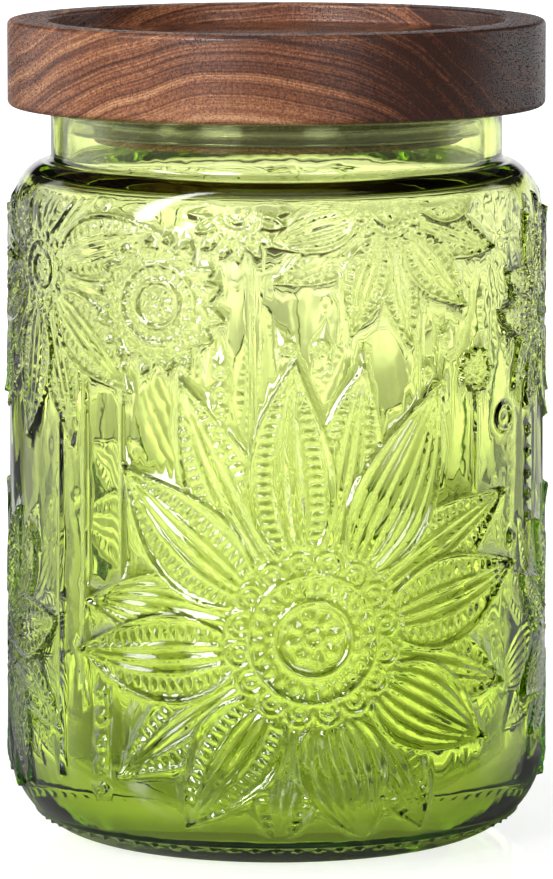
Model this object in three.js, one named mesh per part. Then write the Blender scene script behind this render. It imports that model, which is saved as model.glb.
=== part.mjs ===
// A storage jar of moulded green glass with a turned wooden lid.
// The lid has a raised ring around a shallow recess on top, and a plug underneath that
// carries a lipped silicone ring. The ring wipes the bore of the neck and seals the jar.
// Millimetres, +Z up. The origin is at the centre of the foot, on the surface the jar stands on.
import * as THREE from "three";

// ---- Driving dimensions ----
const SEGMENTS = 72; // facets around every turned piece

// Glass jar, outside
const JAR_HEIGHT = 136.2; // foot to rim
const BODY_RADIUS = 50.4; // just above the heel
const BODY_TAPER = 0.4; // how much narrower the body is just below the shoulder
const HEEL_RADIUS = 16.5;
const SHOULDER_RISE = 11.2;
const NECK_RADIUS = 42;
const NECK_HEIGHT = 9.6; // rim to shoulder
const RIM_ROUND = 1.1; // fire-polished edges of the rim

// Glass jar, inside
const BODY_WALL = 3.6; // just below the shoulder
const FOOT_WALL = 6.8; // just above the heel; the plunger that shapes the inside is tapered
const NECK_WALL = 3.6;
const FLOOR_THICKNESS = 7;
const INNER_HEEL_RADIUS = 12.5;

// Foot
const FOOT_RING_WIDTH = 5; // flat ring that the jar stands on
const PUSH_UP = 1.8; // the hollow of the foot, at its centre
const PUSH_UP_STEP = 0.8; // and where it meets the ring

// Wooden lid
const LID_RADIUS = 50;
const LID_THICKNESS = 16;
const SEAT_GAP = 0.3; // between the lid and the rim it lies on
const RECESS_RADIUS = 42.5;
const RECESS_DEPTH = 3.5;
const LID_ROUND = 0.8; // eased outer edges
const RECESS_ROUND = 0.4; // eased edge of the recess

// Plug and its seal
const PLUG_CLEARANCE = 4.1; // between the plug and the bore, bridged by the seal's lips
const PLUG_LAND = 1.2; // wood left below the groove
const PLUG_CHAMFER = 0.6;
const GROOVE_DEPTH = 2;
const GROOVE_TOP = 0.8; // below the lid's underside
const SEAL_HEIGHT = 3.8;
const SEAL_BAND = 2.2; // thickness of the ring behind its lips
const LIP_COUNT = 2;
const LIP_THICKNESS = 1;
const LIP_DROOP = 0.5; // how far a lip's edge lies below its root
const FIT_GAP = 0.3; // between the seal and what it touches

// ---- Sizes worked out from those ----
const BODY_RADIUS_HIGH = BODY_RADIUS - BODY_TAPER;
const NECK_BORE = NECK_RADIUS - NECK_WALL;
const SHOULDER_TOP = JAR_HEIGHT - NECK_HEIGHT;
const SHOULDER_BASE = SHOULDER_TOP - SHOULDER_RISE;
const FOOT_RING_OUTER = BODY_RADIUS - HEEL_RADIUS;
const FOOT_RING_INNER = FOOT_RING_OUTER - FOOT_RING_WIDTH;
const INNER_RADIUS_LOW = BODY_RADIUS - FOOT_WALL;
const INNER_RADIUS_HIGH = BODY_RADIUS_HIGH - BODY_WALL;
const LID_BASE = JAR_HEIGHT + SEAT_GAP;
const LID_TOP = LID_BASE + LID_THICKNESS;
const GROOVE_HIGH = LID_BASE - GROOVE_TOP;
const GROOVE_LOW = GROOVE_HIGH - SEAL_HEIGHT - 2 * FIT_GAP;
const PLUG_BOTTOM = GROOVE_LOW - PLUG_LAND;
const PLUG_RADIUS = NECK_BORE - PLUG_CLEARANCE;
const GROOVE_RADIUS = PLUG_RADIUS - GROOVE_DEPTH;

// ---- Helpers ----
const point = (radius, height) => new THREE.Vector2(radius, height);

// Points of an elliptical arc about a centre, from one angle to another in degrees,
// measured from the outward direction towards +Z.
function arc(centre, radiusOut, radiusUp, from, to, steps) {
  return Array.from({ length: steps + 1 }, (_, i) => {
    const angle = THREE.MathUtils.degToRad(from + ((to - from) * i) / steps);
    return point(centre.x + radiusOut * Math.cos(angle), centre.y + radiusUp * Math.sin(angle));
  });
}

const roundArc = (centre, radius, from, to, steps) => arc(centre, radius, radius, from, to, steps);

// A solid of revolution about +Z from a profile of (radius, height) points.
function turned(name, profile, material) {
  const geometry = new THREE.LatheGeometry(profile, SEGMENTS);
  geometry.rotateX(Math.PI / 2);
  const mesh = new THREE.Mesh(geometry, material);
  mesh.name = name;
  return mesh;
}

// ---- Materials ----
const greenGlass = new THREE.MeshStandardMaterial({
  color: 0xa4c639,
  roughness: 0.05,
  metalness: 0,
  transparent: true,
  opacity: 0.45,
});
const oiledWood = new THREE.MeshStandardMaterial({ color: 0x7a4f38, roughness: 0.55, metalness: 0 });
const clearSilicone = new THREE.MeshStandardMaterial({ color: 0xdfe6d2, roughness: 0.4, metalness: 0 });

// ---- Glass jar ----
function footProfile() {
  return [
    point(0, PUSH_UP),
    point(FOOT_RING_INNER * 0.6, (PUSH_UP + PUSH_UP_STEP) / 2 + PUSH_UP_STEP / 4),
    point(FOOT_RING_INNER - PUSH_UP_STEP, PUSH_UP_STEP),
    point(FOOT_RING_INNER, 0),
  ];
}

function outerWallProfile() {
  const heel = roundArc(point(FOOT_RING_OUTER, HEEL_RADIUS), HEEL_RADIUS, -90, 0, 9);
  const shoulderCentre = point(NECK_RADIUS, SHOULDER_BASE);
  const shoulder = arc(shoulderCentre, BODY_RADIUS_HIGH - NECK_RADIUS, SHOULDER_RISE, 0, 90, 8);
  const rimEdge = roundArc(point(NECK_RADIUS - RIM_ROUND, JAR_HEIGHT - RIM_ROUND), RIM_ROUND, 0, 90, 3);
  return [...heel, ...shoulder, ...rimEdge];
}

function innerWallProfile() {
  const rimEdge = roundArc(point(NECK_BORE + RIM_ROUND, JAR_HEIGHT - RIM_ROUND), RIM_ROUND, 90, 180, 3);
  const shoulderCentre = point(NECK_BORE, SHOULDER_BASE - BODY_WALL / 2);
  const shoulder = arc(shoulderCentre, INNER_RADIUS_HIGH - NECK_BORE, SHOULDER_RISE, 90, 0, 7);
  const heelCentre = point(INNER_RADIUS_LOW - INNER_HEEL_RADIUS, FLOOR_THICKNESS + INNER_HEEL_RADIUS);
  const heel = roundArc(heelCentre, INNER_HEEL_RADIUS, 0, -90, 7);
  return [...rimEdge, ...shoulder, ...heel, point(0, FLOOR_THICKNESS)];
}

const jarProfile = [...footProfile(), ...outerWallProfile(), ...innerWallProfile()];
const glassJar = turned("glass_jar", jarProfile, greenGlass);

// ---- Wooden lid ----
function lidTopProfile() {
  const floor = LID_TOP - RECESS_DEPTH;
  const recessEdge = roundArc(point(RECESS_RADIUS + RECESS_ROUND, LID_TOP - RECESS_ROUND), RECESS_ROUND, 180, 90, 2);
  const outerEdge = roundArc(point(LID_RADIUS - LID_ROUND, LID_TOP - LID_ROUND), LID_ROUND, 90, 0, 3);
  return [point(0, floor), point(RECESS_RADIUS, floor), ...recessEdge, ...outerEdge];
}

function plugProfile() {
  return [
    point(PLUG_RADIUS, LID_BASE),
    point(PLUG_RADIUS, GROOVE_HIGH),
    point(GROOVE_RADIUS, GROOVE_HIGH),
    point(GROOVE_RADIUS, GROOVE_LOW),
    point(PLUG_RADIUS, GROOVE_LOW),
    point(PLUG_RADIUS, PLUG_BOTTOM + PLUG_CHAMFER),
    point(PLUG_RADIUS - PLUG_CHAMFER, PLUG_BOTTOM),
    point(0, PLUG_BOTTOM),
  ];
}

const lidUnderEdge = roundArc(point(LID_RADIUS - LID_ROUND, LID_BASE + LID_ROUND), LID_ROUND, 0, -90, 3);
const lidProfile = [...lidTopProfile(), ...lidUnderEdge, ...plugProfile()].reverse();
const woodLid = turned("wood_lid", lidProfile, oiledWood);

// ---- Silicone seal ----
// A band that sits in the plug's groove, with lips that reach for the bore.
function sealProfile() {
  const innerRadius = GROOVE_RADIUS + FIT_GAP;
  const bandRadius = innerRadius + SEAL_BAND;
  const lipRadius = NECK_BORE - FIT_GAP;
  const top = GROOVE_HIGH - FIT_GAP;
  const bottom = top - SEAL_HEIGHT;
  const lipPitch = (SEAL_HEIGHT - LIP_THICKNESS) / (LIP_COUNT - 1);
  const lips = [];
  for (let i = 0; i < LIP_COUNT; i++) {
    const lipBottom = bottom + i * lipPitch;
    const droop = i === 0 ? 0 : LIP_DROOP;
    lips.push(
      point(bandRadius, lipBottom),
      point(lipRadius, lipBottom - droop + LIP_THICKNESS * 0.2),
      point(lipRadius, lipBottom - droop + LIP_THICKNESS * 0.8),
      point(bandRadius, lipBottom + LIP_THICKNESS),
    );
  }
  const band = [point(innerRadius, top), point(innerRadius, bottom)];
  return [...band, ...lips, band[0]];
}

const sealRing = turned("seal_ring", sealProfile(), clearSilicone);

const jar = new THREE.Group();
jar.add(glassJar, woodLid, sealRing);

export default jar;
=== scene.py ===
"""A storage jar of pressed green glass with a turned wooden lid and a silicone seal.

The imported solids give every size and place. A finer piece stands for each of them: the glass with
its pressed flowers, the lid with its grain and pores, and the seal with its soft lips.
Pieces are laid out in millimetres and made in metres, +Z up, from the centre of the foot.
"""

import math

import bpy
import numpy as np
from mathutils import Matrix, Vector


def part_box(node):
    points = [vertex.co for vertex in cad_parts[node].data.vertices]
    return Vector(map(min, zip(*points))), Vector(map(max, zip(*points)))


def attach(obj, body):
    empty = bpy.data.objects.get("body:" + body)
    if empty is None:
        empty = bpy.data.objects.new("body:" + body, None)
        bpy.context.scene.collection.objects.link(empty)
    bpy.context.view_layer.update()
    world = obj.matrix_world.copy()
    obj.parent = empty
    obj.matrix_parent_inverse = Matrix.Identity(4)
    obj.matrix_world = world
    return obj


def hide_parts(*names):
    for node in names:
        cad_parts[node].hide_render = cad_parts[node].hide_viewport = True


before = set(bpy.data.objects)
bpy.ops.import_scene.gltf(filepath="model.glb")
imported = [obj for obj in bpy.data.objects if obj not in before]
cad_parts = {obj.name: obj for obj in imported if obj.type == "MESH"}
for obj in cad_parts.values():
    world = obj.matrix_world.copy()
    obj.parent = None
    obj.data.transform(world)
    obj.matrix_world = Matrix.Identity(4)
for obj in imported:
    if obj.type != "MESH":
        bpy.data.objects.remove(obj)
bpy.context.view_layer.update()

MM = 0.001
TAU = 2 * math.pi

# ---- Sizes, in millimetres ----
_, jar_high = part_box("glass_jar")
lid_low, lid_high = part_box("wood_lid")
seal_low, seal_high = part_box("seal_ring")

BODY_RADIUS = jar_high[0] / MM
JAR_HEIGHT = jar_high[2] / MM
LID_RADIUS = lid_high[0] / MM
LID_TOP = lid_high[2] / MM
PLUG_BOTTOM = lid_low[2] / MM
SEAL_RADIUS = seal_high[0] / MM
SEAL_BOTTOM = seal_low[2] / MM
SEAL_TOP = seal_high[2] / MM

BODY_TAPER = 0.4  # how much narrower the body is just below the shoulder
HEEL_RADIUS = 16.5
SHOULDER_RISE = 11.2
NECK_RADIUS = 42.0
NECK_HEIGHT = 9.6
NECK_FILLET = 1.3  # hollow curve at the root of the neck
BORE_RADIUS = 38.4
RIM_ROUND = 1.1
BODY_WALL = 3.6
FOOT_WALL = 6.8
FLOOR_THICKNESS = 7.0
INNER_HEEL_RADIUS = 12.5
FOOT_RING_WIDTH = 5.0
PUSH_UP = 1.8
RELIEF_SINK = 0.3  # the plain ground of the pattern lies this far inside the CAD wall

LID_BASE = JAR_HEIGHT + 0.3  # the lid rests this far above the rim, as in the frame
RECESS_RADIUS = 42.5
RECESS_DEPTH = 3.5
LID_ROUND = 0.9
PLUG_RADIUS = 34.3
GROOVE_RADIUS = 32.3

PATTERN_RADIUS = 50.0  # the cylinder that the flowers are drawn round
RIDGE = 0.5  # half the width of a fine raised line
FOOT_DASHES = 72  # small dashes in a ring under the heel
FOOT_LINE_UP = 3.5  # where that ring's line runs, measured up the wall
RUNG_PITCH = 1.7  # of the ladders that fill the petals
FINE_SEGMENTS = 1056
PLAIN_SEGMENTS = 176
FINE_STEP = 0.3
FACE_BUDGET = 192000
FRONT_CARE = 1.5e-5  # how much more faithfully the front of the wall is kept than the back
FLARE_RADIUS = 2.2  # where the bore opens out under the shoulder
FLARE_TOP = 125.2
CEILING_RADIUS = 43.0  # out to which the underside of the shoulder is nearly flat


# ---- Node expressions ----
class Signal:
    """A node's socket. Operators on it add the Math nodes that the expression needs."""

    def __init__(self, net, socket):
        self.net, self.socket = net, socket

    def __add__(self, other):
        return self.net.math("ADD", self, other)

    def __sub__(self, other):
        return self.net.math("SUBTRACT", self, other)

    def __rsub__(self, other):
        return self.net.math("SUBTRACT", other, self)

    def __mul__(self, other):
        return self.net.math("MULTIPLY", self, other)

    def __truediv__(self, other):
        return self.net.math("DIVIDE", self, other)

    def __rtruediv__(self, other):
        return self.net.math("DIVIDE", other, self)

    def __pow__(self, other):
        return self.net.math("POWER", self, other)

    def __abs__(self):
        return self.net.math("ABSOLUTE", self)

    __radd__ = __add__
    __rmul__ = __mul__

    def output(self, name):
        return Signal(self.net, self.socket.node.outputs[name])


class Net:
    """Adds nodes to one tree."""

    def __init__(self, tree):
        self.tree = tree

    def node(self, kind, settings=None, inputs=None, output=0):
        """One node: its settings first, then the values or links of its sockets."""
        node = self.tree.nodes.new(kind)
        for name, value in (settings or {}).items():
            if name == "stops":
                ramp = node.color_ramp
                while len(ramp.elements) < len(value):
                    ramp.elements.new(0.5)
                for element, (place, colour) in zip(ramp.elements, value):
                    element.position, element.color = place, colour
            else:
                setattr(node, name, value)
        for name, value in (inputs or {}).items():
            if isinstance(value, Signal):
                self.tree.links.new(value.socket, node.inputs[name])
            else:
                node.inputs[name].default_value = value
        return Signal(self, node.outputs[output]) if len(node.outputs) else node

    def math(self, operation, *values):
        return self.node("ShaderNodeMath", {"operation": operation}, dict(enumerate(values)))

    def rise(self, value, low, high):
        """A smooth step from 0 at low to 1 at high."""
        return self.node(
            "ShaderNodeMapRange",
            {"interpolation_type": "SMOOTHSTEP"},
            {"Value": value, "From Min": low, "From Max": high},
        )

    def wrap(self, value, low, high):
        return self.math("WRAP", value, high, low)

    def ridge(self, distance, width):
        """1 on a line, falling smoothly to 0 at that width from it."""
        ratio = distance / width
        near = self.math("MAXIMUM", 1 - ratio * ratio, 0)
        return near * near

    def luck(self, index, seed):
        """A number from 0 to 1 that is the same wherever the index and the seed are the same."""
        return self.math("FRACT", self.math("SINE", index * 12.9898 + seed) * 437.5853)


# ---- Turned pieces ----
def arc(centre, radius_out, radius_up, start, end, steps):
    """Points of an elliptical arc; angles in degrees from outwards towards +Z."""
    angles = np.radians(np.linspace(start, end, steps + 1))
    return [
        (centre[0] + radius_out * math.cos(a), centre[1] + radius_up * math.sin(a)) for a in angles
    ]


def finely(points, step):
    """The same line with points no further than step apart."""
    out = [points[0]]
    for a, b in zip(points, points[1:]):
        parts = max(1, math.ceil(math.dist(a, b) / step))
        out += [
            (a[0] + (b[0] - a[0]) * i / parts, a[1] + (b[1] - a[1]) * i / parts)
            for i in range(1, parts + 1)
        ]
    return out


def turned_mesh(name, profile, counts):
    """A closed solid of revolution from (radius, height) points, with so many points round each.

    A point on the axis is a pole. The profile runs so that material lies to its left.
    """
    places, rings, start = [], [], 0
    for (radius, height), count in zip(profile, counts):
        count = 1 if radius < 1e-6 else count
        turn = np.arange(count) * TAU / count
        places.append(
            np.stack([radius * np.sin(turn), -radius * np.cos(turn), np.full(count, height)], 1)
        )
        rings.append(np.arange(start, start + count))
        start += count
    faces = []
    for low, high in zip(rings, rings[1:] if profile[0][0] < 1e-6 else rings[1:] + rings[:1]):
        faces += strip(low, high)
    loops = np.concatenate([f.ravel() for f in faces])
    sizes = np.concatenate([np.full(len(f), f.shape[1]) for f in faces])
    mesh = bpy.data.meshes.new(name)
    mesh.vertices.add(start)
    mesh.vertices.foreach_set("co", (np.concatenate(places) * MM).ravel())
    mesh.loops.add(len(loops))
    mesh.loops.foreach_set("vertex_index", loops)
    mesh.polygons.add(len(sizes))
    mesh.polygons.foreach_set("loop_start", np.concatenate([[0], np.cumsum(sizes)[:-1]]))
    mesh.update(calc_edges=True)
    mesh.validate()
    mesh.polygons.foreach_set("use_smooth", np.ones(len(sizes), bool))
    return mesh, rings


def strip(a, b):
    """The faces between two rings, whose counts are equal or one a multiple of the other."""
    if len(a) == len(b) == 1:
        return []
    if len(a) == len(b):
        return [np.stack([a, np.roll(a, -1), np.roll(b, -1), b], 1)]
    fine, plain, turned = (a, b, False) if len(a) > len(b) else (b, a, True)
    each = len(fine) // len(plain)
    ahead = np.roll(fine, -1)
    fans = [np.stack([fine, ahead, np.repeat(plain, each)], 1)]
    if len(plain) > 1:
        last = ahead[each - 1 :: each]
        fans.append(np.stack([last, np.roll(plain, -1), plain], 1))
    return [f[:, ::-1] for f in fans] if turned else fans


def add_piece(name, mesh, material):
    piece = bpy.data.objects.new(name, mesh)
    bpy.context.scene.collection.objects.link(piece)
    mesh.materials.clear()
    mesh.materials.append(material)
    return piece


# ---- Pressed pattern ----
def new_group(name, inputs, outputs):
    """A group of geometry nodes with those inputs and their defaults."""
    tree = bpy.data.node_groups.new(name, "GeometryNodeTree")
    for label, value in inputs.items():
        socket = tree.interface.new_socket(
            name=label, in_out="INPUT", socket_type="NodeSocketFloat"
        )
        socket.default_value = value
    for label in outputs:
        tree.interface.new_socket(name=label, in_out="OUTPUT", socket_type="NodeSocketFloat")
    net = Net(tree)
    entry = tree.nodes.new("NodeGroupInput")
    return net, [Signal(net, entry.outputs[label]) for label in inputs]


def end_group(net, **results):
    net.node("NodeGroupOutput", None, {label.title(): value for label, value in results.items()})
    return net.tree


def petal_ring(net, radius, angle, turn, lean, count, root, reach, half_width, level, seed):
    """Height and cover of a ring of pointed petals, each ribbed along its length."""
    sector = TAU / count
    index = net.math("FLOOR", angle / sector + 0.5)
    index = index - net.math("FLOOR", index / count) * count
    length_luck, bend_luck = net.luck(index, seed), net.luck(index, seed + 3.7)
    tip = reach * (0.94 + 0.12 * length_luck + lean * net.math("SINE", index * sector + turn))
    bend = (bend_luck - 0.5) * sector * 0.3 * (radius / reach) * (radius / reach)
    local = net.wrap(angle, sector / -2, sector / 2) + bend
    along = radius * net.math("COSINE", local)
    aside = abs(radius * net.math("SINE", local))
    part = net.node("ShaderNodeClamp", None, {"Value": (along - root) / (tip - root)})
    half = half_width * net.math("SINE", part**0.76 * math.pi) + 0.001
    inside = half - aside
    share = aside / half
    cover = net.rise(inside, 0.0, 0.45)
    window = net.rise(part, 0.08, 0.16) * (1 - net.rise(part, 0.76, 0.9))
    runged = net.math("GREATER_THAN", bend_luck, 0.18)
    lines = (
        0.6 * net.ridge(inside - 0.6, RIDGE + 0.06)
        + 0.36 * net.ridge((share - 0.3) * half, RIDGE)
        + 0.34 * net.ridge(aside, RIDGE * 1.5)
        + 0.36 * net.ridge((share - 0.58) * half, RIDGE) * (1 - runged)
    )
    column = net.ridge((share - 0.56) * half, half_width * 0.165)
    rung = net.ridge(net.wrap(along, RUNG_PITCH / -2, RUNG_PITCH / 2), RUNG_PITCH * 0.4)
    rungs = column * window * runged * (0.66 * rung - 0.2)
    return cover * (level + lines + rungs), cover


def flower_group():
    """A round flower: a ringed disc, a row of scallops and two layers of petals."""
    net, (across, up, turn, disc, reach, lean, count, width, depth, seed) = new_group(
        "pressed_flower",
        {
            "Across": 0.0,
            "Up": 0.0,
            "Turn": 0.0,
            "Disc Radius": 12.4,
            "Petal Reach": 46.0,
            "Lean": 0.0,
            "Petals": 8.0,
            "Petal Width": 8.6,
            "Depth": 1.0,
            "Seed": 1.0,
        },
        ["Height", "Cover"],
    )
    radius = net.math("SQRT", across * across + up * up)
    angle = net.math("ARCTAN2", up, across) - turn
    sector = TAU / count
    back, back_cover = petal_ring(
        net,
        radius,
        angle + sector / 2,
        turn - sector / 2,
        lean,
        count,
        disc,
        reach * 1.03,
        width * 0.9,
        0.08,
        seed,
    )
    front, front_cover = petal_ring(
        net, radius, angle, turn, lean, count, disc, reach, width, 0.3, seed + 9.1
    )
    petals = back * (1 - front_cover) + front
    petal_cover = net.math("MAXIMUM", back_cover, front_cover)

    share = radius / disc
    sixteenth = TAU / (count * 2)
    scallop = net.wrap(angle, sixteenth / -2, sixteenth / 2)
    scallop_out = radius * net.math("COSINE", scallop) - disc * 1.1
    scallop_side = radius * net.math("SINE", scallop)
    loop = net.math("SQRT", scallop_out * scallop_out + scallop_side * scallop_side)
    scallop_cover = 1 - net.rise(loop - disc * 0.22, 0.0, 0.4)
    scallops = scallop_cover * (
        0.12
        + 0.5 * net.ridge(loop - disc * 0.19, RIDGE + 0.05)
        + 0.36 * net.ridge(loop - disc * 0.085, RIDGE * 0.9)
    )
    tile = net.wrap(angle + sixteenth / 2, sixteenth / -2, sixteenth / 2) * radius
    tiles = net.ridge(tile, disc * 0.07 + 0.2) * net.ridge(radius - disc * 1.32, disc * 0.09 + 0.2)

    dart_sector = TAU / (count * 3)
    dart = abs(net.wrap(angle, dart_sector / -2, dart_sector / 2)) * radius
    dart_depth = net.rise(share, 0.66, 0.9) * (1 - net.rise(share, 0.88, 0.93))
    darts = dart_depth * net.ridge(dart, disc * 0.085)
    inner_depth = net.rise(share, 0.6, 0.64) * (1 - net.rise(share, 0.64, 0.74))
    inner_dart = abs(net.wrap(angle + dart_sector / 2, dart_sector / -2, dart_sector / 2)) * radius
    inner_darts = inner_depth * net.ridge(inner_dart, disc * 0.07)
    small = net.wrap(angle, sector / -2, sector / 2)
    small_out = (radius * net.math("COSINE", small) - disc * 0.31) / 1.5
    small_petal = net.ridge(
        net.math("SQRT", small_out * small_out + (radius * small) * (radius * small)), disc * 0.11
    )
    disc_cover = 1 - net.rise(share, 0.99, 1.03)
    disc_height = disc_cover * (
        0.36
        + 0.34 * net.ridge((share - 0.95) * disc, RIDGE * 1.2)
        - 0.5 * darts
        - 0.36 * inner_darts
        + 0.4 * net.ridge((share - 0.56) * disc, RIDGE * 1.1)
        - 0.28 * (1 - net.rise(share, 0.44, 0.54))
        + 0.5 * small_petal
        + 0.45 * net.ridge((share - 0.12) * disc, RIDGE)
    )
    under = 1 - net.rise(share, 1.3, 1.36)
    ring = under * (0.12 + 0.42 * tiles)
    lower = petals * (1 - under) + ring
    middle = lower * (1 - scallop_cover) + scallops
    height = (middle * (1 - disc_cover) + disc_height) * depth
    cover = net.math("MAXIMUM", net.math("MAXIMUM", under, petal_cover), scallop_cover)
    return end_group(net, height=height, cover=cover)


def bead_group():
    """A string of round beads with a dimple in each, one above the other."""
    net, (across, up, length, pitch, bead) = new_group(
        "bead_string",
        {"Across": 0.0, "Up": 0.0, "Length": 15.0, "Pitch": 3.7, "Bead Radius": 1.5},
        ["Height", "Cover"],
    )
    local = net.wrap(up, pitch / -2, pitch / 2)
    inside = net.math("LESS_THAN", abs(up - local), length / 2)
    radius = net.math("SQRT", across * across + local * local)
    cover = (1 - net.rise(radius, bead * 0.75, bead + 0.15)) * inside
    height = cover * (0.1 + 0.4 * net.ridge(radius - bead * 0.66, 0.45))
    height = height + inside * 0.3 * net.ridge(radius, bead * 0.4)
    return end_group(net, height=height, cover=cover)


def stem_group():
    """A straight raised line."""
    net, (across, up, length, width) = new_group(
        "stem", {"Across": 0.0, "Up": 0.0, "Length": 20.0, "Width": 0.7}, ["Height", "Cover"]
    )
    inside = 1 - net.rise(abs(up), length / 2 - 1, length / 2)
    cover = net.ridge(across, width) * inside
    return end_group(net, height=cover * 0.45, cover=cover)


# Each motif is its kind, how many degrees round from the front it is, how far up the wall, and its
# sizes. Every one comes twice, once on each half of the mould.
def flower(degrees, height, reach, disc, width, seed, turn, petals=8.0, depth=1.0, lean=0.0):
    sizes = {
        "Petal Reach": reach,
        "Disc Radius": disc,
        "Petal Width": width,
        "Seed": seed,
        "Turn": turn,
        "Petals": petals,
        "Depth": depth,
        "Lean": lean,
    }
    return "flower", degrees, height, sizes


def beads(degrees, height, length, pitch=3.7, bead=1.5):
    return "beads", degrees, height, {"Length": length, "Pitch": pitch, "Bead Radius": bead}


def stem(degrees, height, length, width):
    return "stem", degrees, height, {"Length": length, "Width": width}


MOTIFS = [
    stem(-5.0, 96.0, 40.0, 0.55),
    stem(-34.0, 68.0, 44.0, 0.8),
    stem(-44.0, 60.0, 60.0, 0.6),
    stem(-52.0, 50.0, 70.0, 0.8),
    stem(46.5, 76.0, 26.0, 0.6),
    stem(31.0, 92.0, 22.0, 0.5),
    # half-hidden flowers at the top and the sides
    flower(-59.0, 108.4, 33.0, 5.6, 6.4, seed=5.3, turn=0.35, petals=6.0, depth=0.6),
    flower(24.0, 121.0, 25.0, 5.0, 5.2, seed=2.9, turn=0.15, petals=6.0),
    flower(78.0, 100.0, 21.0, 5.0, 4.4, seed=7.7, turn=0.1, petals=6.0, depth=0.6),
    flower(-84.0, 38.0, 30.0, 6.0, 6.2, seed=4.1, turn=0.2, petals=6.0, depth=0.6),
    # small round flowers
    flower(-25.5, 104.0, 13.2, 7.6, 2.2, seed=8.2, turn=0.2),
    flower(-8.0, 121.0, 9.5, 3.6, 1.7, seed=3.3, turn=0.4),
    # the large flower at the front
    flower(7.7, 43.7, 46.0, 12.4, 8.6, seed=1.0, turn=math.radians(101), lean=0.12),
    flower(46.2, 91.0, 4.4, 1.9, 1.3, seed=6.1, turn=0.0, petals=6.0, depth=0.8),
    beads(-11.6, 85.0, 18.0),
    beads(37.6, 97.5, 4.0, pitch=4.1, bead=1.3),
    beads(33.0, 91.6, 1.0, pitch=4.0, bead=1.4),
    beads(36.8, 89.0, 6.0, pitch=4.3, bead=1.4),
    beads(2.3, 96.5, 1.0, pitch=4.0, bead=1.8),
    beads(9.3, 96.5, 1.0, pitch=4.0, bead=1.8),
    beads(-39.5, 23.0, 19.0, pitch=4.4, bead=1.5),
    beads(56.4, 81.4, 1.0, pitch=9.0, bead=3.6),
    beads(59.6, 59.0, 1.0, pitch=4.0, bead=1.4),
    beads(68.0, 70.0, 22.0, pitch=4.0, bead=1.4),
]


def pattern_tree(material):
    """Raises the flowers on the jar's wall, whose points carry round, up, press and outside."""
    groups = {"flower": flower_group(), "beads": bead_group(), "stem": stem_group()}
    tree = bpy.data.node_groups.new("pressed_pattern", "GeometryNodeTree")
    tree.interface.new_socket(name="Wall", in_out="INPUT", socket_type="NodeSocketGeometry")
    for label, value in (("Relief", 1.0), ("Waviness", 0.12), ("Seed", 0.0)):
        socket = tree.interface.new_socket(
            name=label, in_out="INPUT", socket_type="NodeSocketFloat"
        )
        socket.default_value = value
    tree.interface.new_socket(name="Wall", in_out="OUTPUT", socket_type="NodeSocketGeometry")
    net = Net(tree)
    entry = tree.nodes.new("NodeGroupInput")
    relief, waviness, seed = [
        Signal(net, entry.outputs[label]) for label in ("Relief", "Waviness", "Seed")
    ]

    def carried(name):
        return net.node(
            "GeometryNodeInputNamedAttribute", {"data_type": "FLOAT"}, {"Name": name}
        )

    turn, up, press, outside = [carried(n) for n in ("round", "up", "press", "outside")]
    total = 0
    for kind, degrees, height, sizes in MOTIFS:
        across = net.wrap(turn - math.radians(degrees), math.pi / -2, math.pi / 2) * PATTERN_RADIUS
        inputs = {"Across": across, "Up": up - height, **sizes}
        motif = net.node("GeometryNodeGroup", {"node_tree": groups[kind]}, inputs)
        total = total * (1 - motif.output("Cover")) + motif if total else motif
    dash_turn = TAU / FOOT_DASHES
    dash = net.wrap(turn, dash_turn / -2, dash_turn / 2) * PATTERN_RADIUS
    foot_line = 0.3 * net.ridge(up - FOOT_LINE_UP, 0.5)
    foot_line = foot_line + 0.4 * net.ridge(dash, 0.9) * net.ridge(up - FOOT_LINE_UP + 1.3, 0.6)
    place = net.node("GeometryNodeInputPosition")
    wave = net.node(
        "ShaderNodeTexNoise",
        {"noise_dimensions": "4D"},
        {"Vector": place, "W": seed, "Scale": 70.0, "Detail": 1.0},
    )
    up_from_foot = net.node("ShaderNodeSeparateXYZ", None, {"Vector": place}, output="Z")
    calm = (1 - 0.7 * outside) * net.rise(up_from_foot, 0.001, 0.005)
    height = (total * press + foot_line * outside) * relief + (wave - 0.5) * waviness * calm
    normal = net.node("GeometryNodeInputNormal")
    offset = net.node(
        "ShaderNodeVectorMath", {"operation": "SCALE"}, {"Vector": normal, "Scale": height * MM}
    )
    moved = net.node(
        "GeometryNodeSetPosition",
        None,
        {"Geometry": Signal(net, entry.outputs["Wall"]), "Offset": offset},
    )
    whole = net.node("GeometryNodeRealizeInstances", None, {"Geometry": moved})
    coated = net.node(
        "GeometryNodeSetMaterial", None, {"Geometry": whole, "Material": material}
    )
    net.node("NodeGroupOutput", None, {"Wall": coated})
    return tree


def set_inputs(modifier, values):
    """Sets the inputs of a modifier's tree by their sockets' identifiers."""
    for item in modifier.node_group.interface.items_tree:
        if item.item_type == "SOCKET" and item.in_out == "INPUT" and item.name in values:
            modifier[item.identifier] = values[item.name]


def as_plain_mesh(piece, name):
    """The piece with its modifiers made real and removed."""
    held = bpy.context.evaluated_depsgraph_get()
    mesh = bpy.data.meshes.new_from_object(
        piece.evaluated_get(held), preserve_all_data_layers=True, depsgraph=held
    )
    mesh.name = name
    piece.modifiers.clear()
    piece.data = mesh
    return piece


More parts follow.
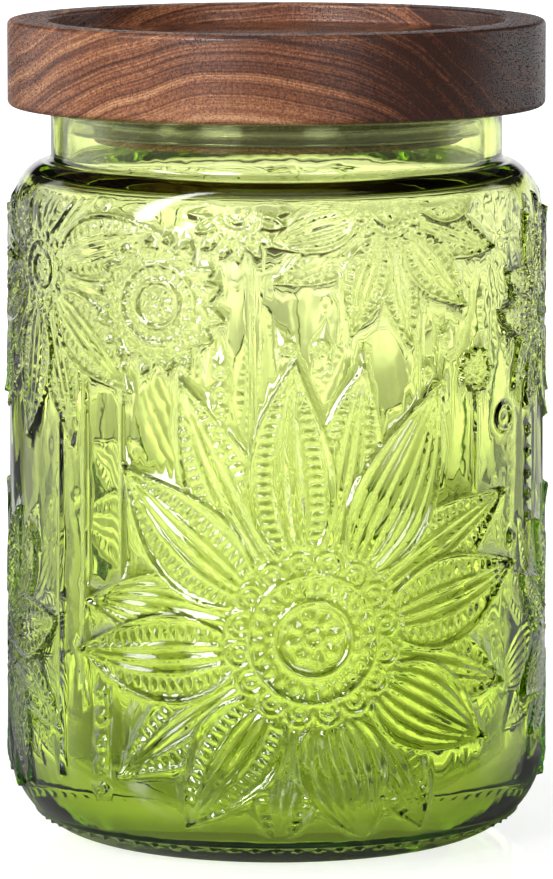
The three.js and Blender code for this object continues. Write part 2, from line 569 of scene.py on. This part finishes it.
def keep_smooth_normals(piece, source):
    """Shades the piece as smoothly as the finer mesh that it came from."""
    model = bpy.data.objects.new("finer", source)
    bpy.context.scene.collection.objects.link(model)
    tree = bpy.data.node_groups.new("finer_normals", "GeometryNodeTree")
    tree.interface.new_socket(name="Piece", in_out="INPUT", socket_type="NodeSocketGeometry")
    tree.interface.new_socket(name="Piece", in_out="OUTPUT", socket_type="NodeSocketGeometry")
    net = Net(tree)
    entry = net.node("NodeGroupInput")
    finer = net.node("GeometryNodeObjectInfo", None, {"Object": model}, output="Geometry")
    sample = net.node(
        "GeometryNodeSampleNearestSurface",
        {"data_type": "FLOAT_VECTOR"},
        {"Mesh": finer, "Value": net.node("GeometryNodeInputNormal")},
    )
    kept = net.node(
        "GeometryNodeStoreNamedAttribute",
        {"data_type": "FLOAT_VECTOR", "domain": "POINT"},
        {"Geometry": entry, "Name": "finer_normal", "Value": sample},
    )
    whole = net.node("GeometryNodeRealizeInstances", None, {"Geometry": kept})
    coated = net.node(
        "GeometryNodeSetMaterial", None, {"Geometry": whole, "Material": source.materials[0]}
    )
    net.node("NodeGroupOutput", None, {"Piece": coated})
    piece.modifiers.new("finer normals", "NODES").node_group = tree
    as_plain_mesh(piece, piece.data.name)
    held = piece.data.attributes["finer_normal"]
    normals = np.empty(len(piece.data.vertices) * 3, np.float32)
    held.data.foreach_get("vector", normals)
    piece.data.attributes.remove(held)
    normals = normals.reshape(-1, 3)
    normals /= np.maximum(np.linalg.norm(normals, axis=1, keepdims=True), 1e-9)
    piece.data.normals_split_custom_set_from_vertices(normals)
    bpy.data.objects.remove(model)


# ---- Glass jar ----
def glass_profile():
    """Foot, outer wall, rim and inner wall, with what each point is."""
    ground = BODY_RADIUS - RELIEF_SINK
    foot_outer = BODY_RADIUS - HEEL_RADIUS
    foot_inner = foot_outer - FOOT_RING_WIDTH
    shoulder_top = JAR_HEIGHT - NECK_HEIGHT
    shoulder_base = shoulder_top - SHOULDER_RISE
    foot = [(0, PUSH_UP), (10, PUSH_UP - 0.1), (20, PUSH_UP - 0.35), (foot_inner - 1.4, 0.9)]
    foot += arc((foot_inner - 0.3, 0.6), 0.6, 0.6, 200, 270, 4)
    heel = arc((ground - HEEL_RADIUS, HEEL_RADIUS), HEEL_RADIUS, HEEL_RADIUS, -90, 0, 40)
    shoulder = arc(
        (NECK_RADIUS, shoulder_base), ground - BODY_TAPER - NECK_RADIUS, SHOULDER_RISE, 0, 76, 26
    )
    edge = shoulder[-1]
    hollow = (NECK_RADIUS + NECK_FILLET, edge[1] + NECK_FILLET * 0.95)
    fillet = arc(hollow, NECK_FILLET, NECK_FILLET, 255, 180, 8)
    rim_up = JAR_HEIGHT - RIM_ROUND
    rim_out = arc((NECK_RADIUS - RIM_ROUND, rim_up), RIM_ROUND, RIM_ROUND, 0, 90, 8)
    rim_in = arc((BORE_RADIUS + RIM_ROUND, rim_up), RIM_ROUND, RIM_ROUND, 90, 180, 8)
    inner_low, inner_high = BODY_RADIUS - FOOT_WALL, BODY_RADIUS - BODY_WALL - BODY_TAPER
    flare_centre = (BORE_RADIUS + FLARE_RADIUS, FLARE_TOP)
    flare = arc(flare_centre, FLARE_RADIUS, FLARE_RADIUS, 180, 262, 12)
    inner_shoulder = flare + arc(
        (CEILING_RADIUS, shoulder_base - 1.5), inner_high - CEILING_RADIUS, 8.8, 88, 0, 16
    )
    inner_heel = arc(
        (inner_low - INNER_HEEL_RADIUS, FLOOR_THICKNESS + INNER_HEEL_RADIUS),
        INNER_HEEL_RADIUS,
        INNER_HEEL_RADIUS,
        0,
        -90,
        20,
    )
    fine = finely(heel + shoulder, FINE_STEP)
    neck = finely(fillet + rim_out, 1.2)
    inside = finely(rim_in + inner_shoulder + inner_heel, 4.0)
    inside += [(28.0, FLOOR_THICKNESS), (20, FLOOR_THICKNESS), (10, FLOOR_THICKNESS)]
    inside.append((0, FLOOR_THICKNESS))
    profile = foot + fine + neck + inside
    counts = [PLAIN_SEGMENTS] * len(foot) + [FINE_SEGMENTS] * len(fine)
    counts += [PLAIN_SEGMENTS] * (len(neck) + len(inside))
    return profile, counts, len(foot), len(fine)


def make_glass_jar(material):
    profile, counts, first, fine = glass_profile()
    mesh, rings = turned_mesh("glass jar", profile, counts)
    size = len(mesh.vertices)
    turn, up, press = np.zeros(size), np.zeros(size), np.zeros(size)
    line = np.array(profile[first : first + fine])
    run = np.concatenate([[0], np.cumsum(np.hypot(*np.diff(line, axis=0).T))])
    run += HEEL_RADIUS * (1 - math.pi / 2)  # so that it is the height on the straight wall
    top_edge = JAR_HEIGHT - NECK_HEIGHT - SHOULDER_RISE + 5.0
    outside = np.zeros(size)
    for k, ring in enumerate(rings[first : first + fine]):
        turn[ring] = np.arange(len(ring)) * TAU / len(ring)
        up[ring] = run[k]
        fade_in = np.clip((run[k] - 5.5) / 4, 0, 1)
        press[ring] = fade_in * np.clip((top_edge + 2 - run[k]) / 2.5, 0, 1)
        outside[ring] = 1
    for name, values in (("round", turn), ("up", up), ("press", press), ("outside", outside)):
        mesh.attributes.new(name, "FLOAT", "POINT").data.foreach_set("value", values)
    jar = add_piece("pressed_glass_jar", mesh, material)

    pattern = jar.modifiers.new("pattern", "NODES")
    pattern.node_group = pattern_tree(material)
    set_inputs(pattern, {"Relief": 1.15, "Waviness": 0.12, "Seed": 0.0})
    as_plain_mesh(jar, "glass jar with flowers")

    smooth = jar.data.copy()
    loose = jar.vertex_groups.new(name="loose")
    inner_rings = np.concatenate([rings[i] for i in range(first + 2, first + fine - 2)])
    facing = np.cos(turn[inner_rings]) > 0.2
    loose.add(inner_rings[facing].tolist(), 1 - FRONT_CARE, "REPLACE")
    loose.add(inner_rings[~facing].tolist(), 1.0, "REPLACE")
    faces = sum(len(p.vertices) - 2 for p in jar.data.polygons)
    thin = jar.modifiers.new("thin", "DECIMATE")
    thin.ratio = FACE_BUDGET / faces
    thin.vertex_group = "loose"
    thin.use_collapse_triangulate = True
    as_plain_mesh(jar, "glass jar")
    keep_smooth_normals(jar, smooth)
    jar.vertex_groups.clear()
    for name in ("round", "up", "press", "outside"):
        held = jar.data.attributes.get(name)
        if held:
            jar.data.attributes.remove(held)
    print("glass jar faces", faces, "->", len(jar.data.polygons))
    return jar


# ---- Wooden lid ----
def make_lid(material):
    floor = LID_TOP - RECESS_DEPTH
    profile = [(0, floor), (14, floor), (28, floor), (38, floor), (41.2, floor)]
    profile += arc((RECESS_RADIUS - 0.7, floor + 0.7), 0.7, 0.7, -90, 0, 6)
    profile += arc((RECESS_RADIUS + 0.6, LID_TOP - 0.6), 0.6, 0.6, 180, 90, 6)
    profile += arc((LID_RADIUS - LID_ROUND, LID_TOP - LID_ROUND), LID_ROUND, LID_ROUND, 90, 0, 8)
    profile += arc((LID_RADIUS - 1.2, LID_BASE + 1.2), 1.2, 1.2, 0, -90, 8)
    groove_high, groove_low = LID_BASE - 0.8, SEAL_BOTTOM - 0.3
    profile += [(PLUG_RADIUS + 0.2, LID_BASE), (PLUG_RADIUS, LID_BASE - 0.2)]
    profile += [(PLUG_RADIUS, groove_high + 0.15), (PLUG_RADIUS - 0.15, groove_high)]
    profile += [(GROOVE_RADIUS + 0.1, groove_high), (GROOVE_RADIUS, groove_high - 0.1)]
    profile += [(GROOVE_RADIUS, groove_low + 0.1), (GROOVE_RADIUS + 0.1, groove_low)]
    profile += [(PLUG_RADIUS - 0.15, groove_low), (PLUG_RADIUS, groove_low - 0.15)]
    profile += arc((PLUG_RADIUS - 0.6, PLUG_BOTTOM + 0.6), 0.6, 0.6, 0, -90, 5)
    profile += [(22, PLUG_BOTTOM), (10, PLUG_BOTTOM), (0, PLUG_BOTTOM)]
    profile = profile[::-1]
    mesh, _ = turned_mesh("turned lid", profile, [288] * len(profile))
    return add_piece("turned_wood_lid", mesh, material)


# ---- Silicone seal ----
def make_seal(material):
    inner, band, lip = GROOVE_RADIUS + 0.3, GROOVE_RADIUS + 2.5, SEAL_RADIUS
    profile = [(inner, SEAL_TOP - 0.2), (inner, SEAL_BOTTOM + 0.2), (inner + 0.2, SEAL_BOTTOM)]
    for root, droop in ((SEAL_BOTTOM, 0.0), (SEAL_TOP - 1.0, 0.5)):
        profile += [(band - 0.2, root), (band + 0.3, root - droop * 0.1)]
        profile += [((band + lip) / 2, root - droop * 0.55 + 0.05)]
        profile += arc((lip - 0.3, root - droop + 0.5), 0.3, 0.3, -80, 80, 6)
        profile += [((band + lip) / 2, root - droop * 0.5 + 0.95), (band + 0.3, root + 1.0)]
        profile += [(band, root + 1.15)] if root == SEAL_BOTTOM else []
    profile[-1] = (band, SEAL_TOP)
    profile += [(inner + 0.2, SEAL_TOP)]
    mesh, _ = turned_mesh("lipped seal", profile, [240] * len(profile))
    return add_piece("lipped_seal", mesh, material)


# ---- Finishes ----
def new_material(name):
    material = bpy.data.materials.new(name)
    material.use_nodes = True
    material.node_tree.nodes.clear()
    net = Net(material.node_tree)
    return material, net


def finish_material(net, surface, volume=None):
    sockets = {"Surface": surface}
    if volume:
        sockets["Volume"] = volume
    net.node("ShaderNodeOutputMaterial", None, sockets)


def green_glass():
    """Lime green soda glass, fire polished, faintly uneven."""
    material, net = new_material("green glass")
    place = net.node("ShaderNodeTexCoord", output="Object")
    uneven = net.node("ShaderNodeTexNoise", None, {"Vector": place, "Scale": 160.0, "Detail": 2.0})
    height = net.node("ShaderNodeSeparateXYZ", None, {"Vector": place}, output="Z")
    # Deeper, yellower green towards the foot: partly the thicker glass there, partly painted shade
    # of the shadowed floor seen through the lower half.
    tint_and_lower_shade = net.node(
        "ShaderNodeValToRGB",
        {
            "stops": [
                (0.1, (0.9, 0.96, 0.6, 1)),
                (0.45, (0.95, 0.98, 0.82, 1)),
                (0.75, (0.98, 0.98, 0.94, 1)),
            ]
        },
        {"Fac": height * (1000 / JAR_HEIGHT) + uneven * 0.06},
    )
    bump = net.node(
        "ShaderNodeBump", None, {"Strength": 0.12, "Distance": 0.0004, "Height": uneven}
    )
    surface = net.node(
        "ShaderNodeBsdfPrincipled",
        None,
        {
            "Base Color": tint_and_lower_shade,
            "Roughness": 0.01 + uneven * 0.02,
            "IOR": 1.5,
            "Transmission Weight": 1.0,
            "Normal": bump,
        },
    )
    volume = net.node(
        "ShaderNodeVolumeAbsorption", None, {"Color": (0.805, 0.922, 0.03, 1), "Density": 130.0}
    )
    finish_material(net, surface, volume)
    return material


FIBRE_TURN = math.radians(97)  # turns the fibres so that they run towards the front
BOARD_HEIGHT = 0.11  # height of the board's own origin, in metres, as are the next three
RING_CENTRE_ASIDE = 0.004
RING_CENTRE_BELOW = 0.02
SAPWOOD_DEPTH = (0.0555, 0.0605)  # where the pale wood next to the rings' centre ends


def oiled_wood():
    """Dark brown hardwood with open pores, cut so that its growth rings arch across the front."""
    material, net = new_material("oiled wood")
    place = net.node("ShaderNodeTexCoord", output="Object")
    board = net.node(
        "ShaderNodeMapping",
        None,
        {
            "Vector": place,
            "Location": (0.0, 0.0, -BOARD_HEIGHT),
            "Rotation": (0.0, 0.0, FIBRE_TURN),
        },
    )
    swirl = net.node("ShaderNodeTexNoise", None, {"Vector": board, "Scale": 17.0, "Detail": 2.0})
    parts = net.node("ShaderNodeSeparateXYZ", None, {"Vector": board})
    x, y, z = parts, parts.output("Y"), parts.output("Z")
    out, rise = y + RING_CENTRE_ASIDE, z + RING_CENTRE_BELOW
    depth = net.math("SQRT", out * out + rise * rise) + swirl * 0.016 + x * 0.03
    rings = net.node("ShaderNodeCombineXYZ", None, {"X": depth * 620, "Y": x * 8.0})
    band = net.node("ShaderNodeTexNoise", None, {"Vector": rings, "Scale": 1.0, "Detail": 3.0})
    fine = net.node("ShaderNodeCombineXYZ", None, {"X": depth * 2400, "Y": x * 40.0})
    streak = net.node("ShaderNodeTexNoise", None, {"Vector": fine, "Scale": 1.0, "Detail": 2.0})
    stretched = net.node(
        "ShaderNodeVectorMath", {"operation": "MULTIPLY"}, {0: board, 1: (120, 1800, 1800)}
    )
    fibre = net.node("ShaderNodeTexNoise", None, {"Vector": stretched, "Scale": 1.0, "Detail": 3.0})
    pore_place = net.node(
        "ShaderNodeVectorMath", {"operation": "MULTIPLY"}, {0: board, 1: (600, 4200, 4200)}
    )
    pore = net.node("ShaderNodeTexNoise", None, {"Vector": pore_place, "Scale": 1.0, "Detail": 0.0})
    pores = net.rise(pore, 0.57, 0.68)
    # Darker towards the right-hand side of the lid: partly dark heartwood, partly painted shade of
    # the side turned away from the light.
    heartwood_and_side_shade = net.rise(y + swirl * 0.03, 0.022, 0.056)
    sapwood = 1 - net.rise(depth, *SAPWOOD_DEPTH)
    tone = band * 0.5 + streak * 0.42 + fibre * 0.24 + swirl * 0.3 - 0.255
    tone = tone - heartwood_and_side_shade * 0.16 + sapwood * 0.06
    colour = net.node(
        "ShaderNodeValToRGB",
        {
            "stops": [
                (0.36, (0.045, 0.013, 0.006, 1)),
                (0.45, (0.14, 0.045, 0.019, 1)),
                (0.53, (0.29, 0.108, 0.045, 1)),
                (0.64, (0.56, 0.3, 0.15, 1)),
            ]
        },
        {"Fac": tone},
    )
    darker = net.node(
        "ShaderNodeMix",
        {"data_type": "RGBA", "blend_type": "MULTIPLY"},
        {0: pores * 0.75, 6: colour, 7: (0.22, 0.14, 0.1, 1)},
        output=2,
    )
    bump = net.node(
        "ShaderNodeBump",
        None,
        {"Strength": 0.5, "Distance": 0.0003, "Height": fibre * 0.3 - pores * 0.7},
    )
    surface = net.node(
        "ShaderNodeBsdfPrincipled",
        None,
        {
            "Base Color": darker,
            "Roughness": 0.3 + pores * 0.3 + band * 0.1,
            "Specular IOR Level": 0.45,
            "Normal": bump,
        },
    )
    finish_material(net, surface)
    return material


def clear_silicone():
    """Water-clear soft silicone with a slightly tacky, mottled skin."""
    material, net = new_material("clear silicone")
    place = net.node("ShaderNodeTexCoord", output="Object")
    skin = net.node("ShaderNodeTexNoise", None, {"Vector": place, "Scale": 1300.0, "Detail": 2.0})
    bump = net.node("ShaderNodeBump", None, {"Strength": 1.0, "Distance": 0.0009, "Height": skin})
    surface = net.node(
        "ShaderNodeBsdfPrincipled",
        None,
        {
            "Coat Weight": 1.0,
            "Coat IOR": 2.0,
            "Base Color": net.node(
                "ShaderNodeValToRGB",
                {"stops": [(0.3, (0.9, 0.9, 0.86, 1)), (0.7, (0.97, 0.97, 0.94, 1))]},
                {"Fac": skin},
            ),
            "Roughness": 0.06 + skin * 0.1,
            "IOR": 1.41,
            "Transmission Weight": 1.0,
            "Normal": bump,
        },
    )
    volume = net.node(
        "ShaderNodeVolumeAbsorption", None, {"Color": (0.9, 0.9, 0.86, 1), "Density": 60.0}
    )
    finish_material(net, surface, volume)
    return material


# ---- The stage ----
TABLE_RADIUS = 4000.0
GAPS = ((-45, 19), (50, 8))  # dark gaps in the light: azimuth and half width, in degrees


def gapped(net, azimuth):
    """1 where the ring of light round the jar is lit, 0 in its gaps. Azimuth 0 is behind."""
    lit = 1
    for centre, half_width in GAPS:
        off = abs(net.wrap(azimuth - math.radians(centre), -math.pi, math.pi))
        lit = lit * net.rise(off, math.radians(half_width - 3), math.radians(half_width + 3))
    return lit


def make_floor():
    profile = [(0, -12), (TABLE_RADIUS, -12), (TABLE_RADIUS, 0), (0, 0)]
    mesh, _ = turned_mesh("table top", profile, [256] * 4)
    mesh.polygons.foreach_set("use_smooth", np.zeros(len(mesh.polygons), bool))
    material, net = new_material("glossy white table")
    place = net.node("ShaderNodeTexCoord", output="Object")
    away = net.node("ShaderNodeVectorMath", {"operation": "LENGTH"}, {0: place}, output="Value")
    x = net.node("ShaderNodeSeparateXYZ", None, {"Vector": place})
    lit = gapped(net, net.math("ARCTAN2", x, x.output("Y")))
    path = net.node("ShaderNodeLightPath", output="Is Camera Ray")
    # The table glows. Seen straight from the camera it glows evenly. Seen through the glass it is
    # painted light: dimmer near the jar as a painted shadow, and dimmed in the gaps of the light as
    # painted shade.
    glow = (0.24 + 0.42 * net.rise(away, 0.0, 0.85)) * (0.07 + 0.93 * lit)
    glow = path.output("Is Transmission Ray") * glow + path * 0.75
    surface = net.node(
        "ShaderNodeBsdfPrincipled",
        None,
        {
            "Base Color": (0.45, 0.45, 0.45, 1),
            "Roughness": 0.1,
            "Specular IOR Level": 0.4,
            "Emission Color": (1, 1, 1, 1),
            "Emission Strength": glow,
        },
    )
    finish_material(net, surface)
    add_piece("floor", mesh, material)


def light_the_world():
    """Soft panels round the jar and above, with dark gaps. Each kind of ray sees its own share."""
    world = bpy.data.worlds.new("studio")
    world.use_nodes = True
    world.node_tree.nodes.clear()
    bpy.context.scene.world = world
    net = Net(world.node_tree)
    direction = net.node("ShaderNodeTexCoord", output="Generated")
    x = net.node("ShaderNodeSeparateXYZ", None, {"Vector": direction})
    y, z = x.output("Y"), x.output("Z")
    azimuth = net.math("ARCTAN2", x, y)  # 0 behind the jar, positive to the right

    def panel(centre, half_width, low, high, glow):
        off = abs(net.wrap(azimuth - math.radians(centre), -math.pi, math.pi))
        wide = 1 - net.rise(off, math.radians(half_width - 3), math.radians(half_width + 3))
        tall = net.rise(z, low - 0.03, low + 0.03) * (1 - net.rise(z, high - 0.04, high + 0.04))
        return wide * tall * glow

    path = net.node("ShaderNodeLightPath", output="Is Camera Ray")
    through = path.output("Is Transmission Ray")
    windows = panel(-118, 5, 0.16, 0.93, 9.0) + panel(-150, 10, 0.16, 0.62, 15.0)
    windows = windows + panel(156, 8, 0.16, 0.45, 7.0)
    edges = panel(-62, 22, -1, 0.5, 1.5) + panel(64, 18, -1, 0.5, 1.2)
    front_fill = panel(-174, 36, 0.0, 0.7, 0.5) * path.output("Is Diffuse Ray")
    soft = panel(9, 31, -1, 0.17, 1.1) + panel(68, 16, -1, 0.3, 0.35) + panel(-84, 22, -1, 0.4, 0.8)
    front = 1 - 0.6 * net.rise(abs(azimuth), math.radians(95), math.radians(110))
    around = gapped(net, azimuth) * (1 - net.rise(z, 0.14, 0.2)) * front
    mirrored = path.output("Is Glossy Ray") * (1 - through)
    light = 0.015 + windows * (1 + 0.8 * mirrored) + front_fill + edges * mirrored
    light = light + soft * (1 - through) + around * through + net.rise(z, 0.88, 0.94) * 0.7
    light = light * (1 - path) + path * 1.1
    shade = net.node("ShaderNodeBackground", None, {"Color": (1, 1, 1, 1), "Strength": light})
    net.node("ShaderNodeOutputWorld", None, {"Surface": shade})


CAMERA_DISTANCE = 1.2
CAMERA_HEIGHT = 0.2297
CAMERA_PITCH = 7.41
CAMERA_LENS = 264.7


def place_camera():
    data = bpy.data.cameras.new("camera")
    data.sensor_fit = "AUTO"
    data.sensor_width = 36
    data.lens = CAMERA_LENS
    camera = bpy.data.objects.new("camera", data)
    camera.location = (0, -CAMERA_DISTANCE, CAMERA_HEIGHT)
    camera.rotation_euler = (math.radians(90 - CAMERA_PITCH), 0, 0)
    bpy.context.scene.collection.objects.link(camera)
    bpy.context.scene.camera = camera


# ---- Assembly ----
jar = make_glass_jar(green_glass())
lid = make_lid(oiled_wood())
seal = make_seal(clear_silicone())

for piece, node, body, slot in (
    (jar, "glass_jar", "jar", "green_glass"),
    (lid, "wood_lid", "lid", "oiled_wood"),
    (seal, "seal_ring", "lid", "clear_silicone"),
):
    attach(piece, body)
    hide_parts(node)

make_floor()
light_the_world()
place_camera()

scene = bpy.context.scene
scene.view_settings.view_transform = "Standard"
scene.cycles.transmission_bounces = 24
scene.cycles.max_bounces = 24
